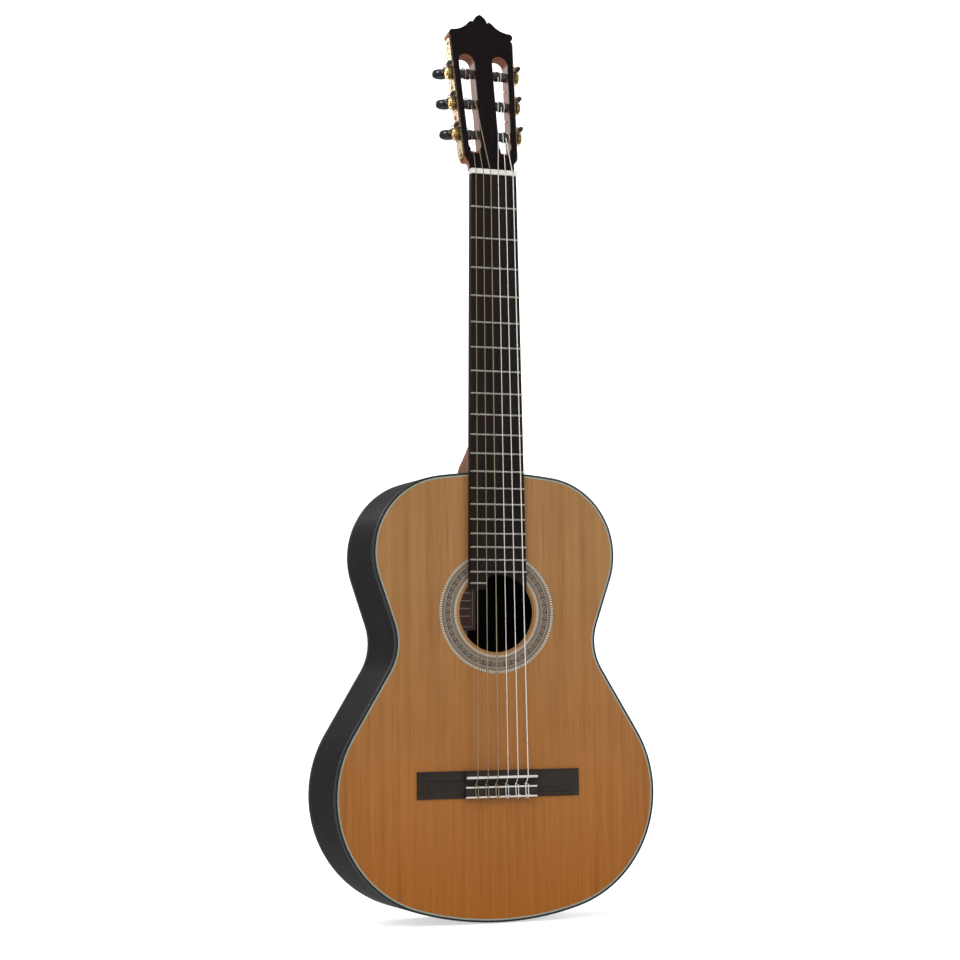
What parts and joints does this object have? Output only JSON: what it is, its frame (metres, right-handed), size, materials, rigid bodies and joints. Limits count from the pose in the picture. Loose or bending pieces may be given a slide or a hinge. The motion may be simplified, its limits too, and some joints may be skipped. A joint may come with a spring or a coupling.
{
  "type": "classical guitar",
  "caption": "Left-handed nylon-strung classical guitar with slotted head, side-mounted worm tuners, inlaid rosette and tie-block bridge.",
  "frame": {"origin": "centre line of the neck at the fingerboard edge of the nut, where the scale starts, in the plane of the soundboard's front face", "axes": "+Z along the neck towards the head; the soundboard faces -Y; +X to the right seen from the front, which is the bass side"},
  "size_m": [0.364, 0.1174, 0.9943],
  "materials": {
    "cedar": "satin lacquered cedar",
    "rosette_mosaic": "satin mosaic veneer",
    "brace_spruce": "raw spruce",
    "black_body_wood": "dark stained, semi-gloss lacquer",
    "pale_inlay": "satin",
    "black_binding": "gloss",
    "label_paper": null,
    "mahogany": "satin lacquer",
    "dark_veneer": "satin lacquer",
    "dark_board": "oiled, low sheen",
    "fret_alloy": "polished nickel silver",
    "bone": "polished, bone coloured",
    "gold_plate": "gold plated, engraved",
    "nylon": "clear nylon",
    "wound_string": "silver-plated winding",
    "worm_steel": "plated steel",
    "black_button": "gloss",
    "gear_brass": "polished",
    "black_roller": "satin"
  },
  "bodies": {
    "guitar": {"back_braces": "brace_spruce", "back_centre_strip": "pale_inlay", "back_plates": "black_body_wood", "bindings": "black_binding", "bridge": "dark_board", "fan_braces": "brace_spruce", "fingerboard": "dark_board", "frets": "fret_alloy", "front_purfling": "pale_inlay", "harmonic_bars": "brace_spruce", "head_core": "mahogany", "head_veneer": "dark_veneer", "heel_block": "mahogany", "heel_cap": "dark_veneer", "label": "label_paper", "linings": "brace_spruce", "neck_shaft": "mahogany", "nut": "bone", "plate_screws": "gold_plate", "rib_bass": "black_body_wood", "rib_treble": "black_body_wood", "rosette": "rosette_mosaic", "saddle": "bone", "soundboard": "cedar", "soundhole_ring": "brace_spruce", "string_1": "nylon", "string_2": "nylon", "string_3": "nylon", "string_4": "wound_string", "string_5": "wound_string", "string_6": "wound_string", "tail_block": "brace_spruce", "tail_strip": "black_body_wood", "tie_block_strips": "bone", "tuner_plate_bass": "gold_plate", "tuner_plate_treble": "gold_plate"},
    "worm_1": {"worm_1": "worm_steel", "button_1": "black_button"},
    "roller_1": {"roller_1": "black_roller", "gear_1": "gear_brass"},
    "worm_2": {"worm_2": "worm_steel", "button_2": "black_button"},
    "roller_2": {"roller_2": "black_roller", "gear_2": "gear_brass"},
    "worm_3": {"worm_3": "worm_steel", "button_3": "black_button"},
    "roller_3": {"roller_3": "black_roller", "gear_3": "gear_brass"},
    "worm_4": {"worm_4": "worm_steel", "button_4": "black_button"},
    "roller_4": {"roller_4": "black_roller", "gear_4": "gear_brass"},
    "worm_5": {"worm_5": "worm_steel", "button_5": "black_button"},
    "roller_5": {"roller_5": "black_roller", "gear_5": "gear_brass"},
    "worm_6": {"worm_6": "worm_steel", "button_6": "black_button"},
    "roller_6": {"roller_6": "black_roller", "gear_6": "gear_brass"}
  },
  "joints": [
    {"name": "button_1_turn", "type": "hinge", "parent": "guitar", "child": "worm_1", "pos_m": [-0.03744, 0.0148, 0.05517], "axis": [0, 0.9833, -0.1822], "continuous": true},
    {"name": "roller_1_turn", "type": "hinge", "parent": "guitar", "child": "roller_1", "pos_m": [-0.03709, 0.01321, 0.04657], "axis": [-0.9992, -0.0073, -0.0392], "continuous": true},
    {"name": "button_2_turn", "type": "hinge", "parent": "guitar", "child": "worm_2", "pos_m": [-0.03889, 0.02141, 0.09086], "axis": [0, 0.9833, -0.1822], "continuous": true},
    {"name": "roller_2_turn", "type": "hinge", "parent": "guitar", "child": "roller_2", "pos_m": [-0.03854, 0.01982, 0.08226], "axis": [-0.9992, -0.0073, -0.0392], "continuous": true},
    {"name": "button_3_turn", "type": "hinge", "parent": "guitar", "child": "worm_3", "pos_m": [-0.04033, 0.02803, 0.12655], "axis": [0, 0.9833, -0.1822], "continuous": true},
    {"name": "roller_3_turn", "type": "hinge", "parent": "guitar", "child": "roller_3", "pos_m": [-0.03998, 0.02644, 0.11795], "axis": [-0.9992, -0.0073, -0.0392], "continuous": true},
    {"name": "button_4_turn", "type": "hinge", "parent": "guitar", "child": "worm_4", "pos_m": [0.04033, 0.02803, 0.12655], "axis": [0, -0.9833, 0.1822], "continuous": true},
    {"name": "roller_4_turn", "type": "hinge", "parent": "guitar", "child": "roller_4", "pos_m": [0.03998, 0.02644, 0.11795], "axis": [0.9992, -0.0073, -0.0392], "continuous": true},
    {"name": "button_5_turn", "type": "hinge", "parent": "guitar", "child": "worm_5", "pos_m": [0.03889, 0.02141, 0.09086], "axis": [0, -0.9833, 0.1822], "continuous": true},
    {"name": "roller_5_turn", "type": "hinge", "parent": "guitar", "child": "roller_5", "pos_m": [0.03854, 0.01982, 0.08226], "axis": [0.9992, -0.0073, -0.0392], "continuous": true},
    {"name": "button_6_turn", "type": "hinge", "parent": "guitar", "child": "worm_6", "pos_m": [0.03744, 0.0148, 0.05517], "axis": [0, -0.9833, 0.1822], "continuous": true},
    {"name": "roller_6_turn", "type": "hinge", "parent": "guitar", "child": "roller_6", "pos_m": [0.03709, 0.01321, 0.04657], "axis": [0.9992, -0.0073, -0.0392], "continuous": true}
  ],
  "couplings": [
    {"joint": "roller_1_turn", "follows": "button_1_turn", "ratio": -0.071429},
    {"joint": "roller_2_turn", "follows": "button_2_turn", "ratio": -0.071429},
    {"joint": "roller_3_turn", "follows": "button_3_turn", "ratio": -0.071429},
    {"joint": "roller_4_turn", "follows": "button_4_turn", "ratio": -0.071429},
    {"joint": "roller_5_turn", "follows": "button_5_turn", "ratio": -0.071429},
    {"joint": "roller_6_turn", "follows": "button_6_turn", "ratio": -0.071429}
  ]
}
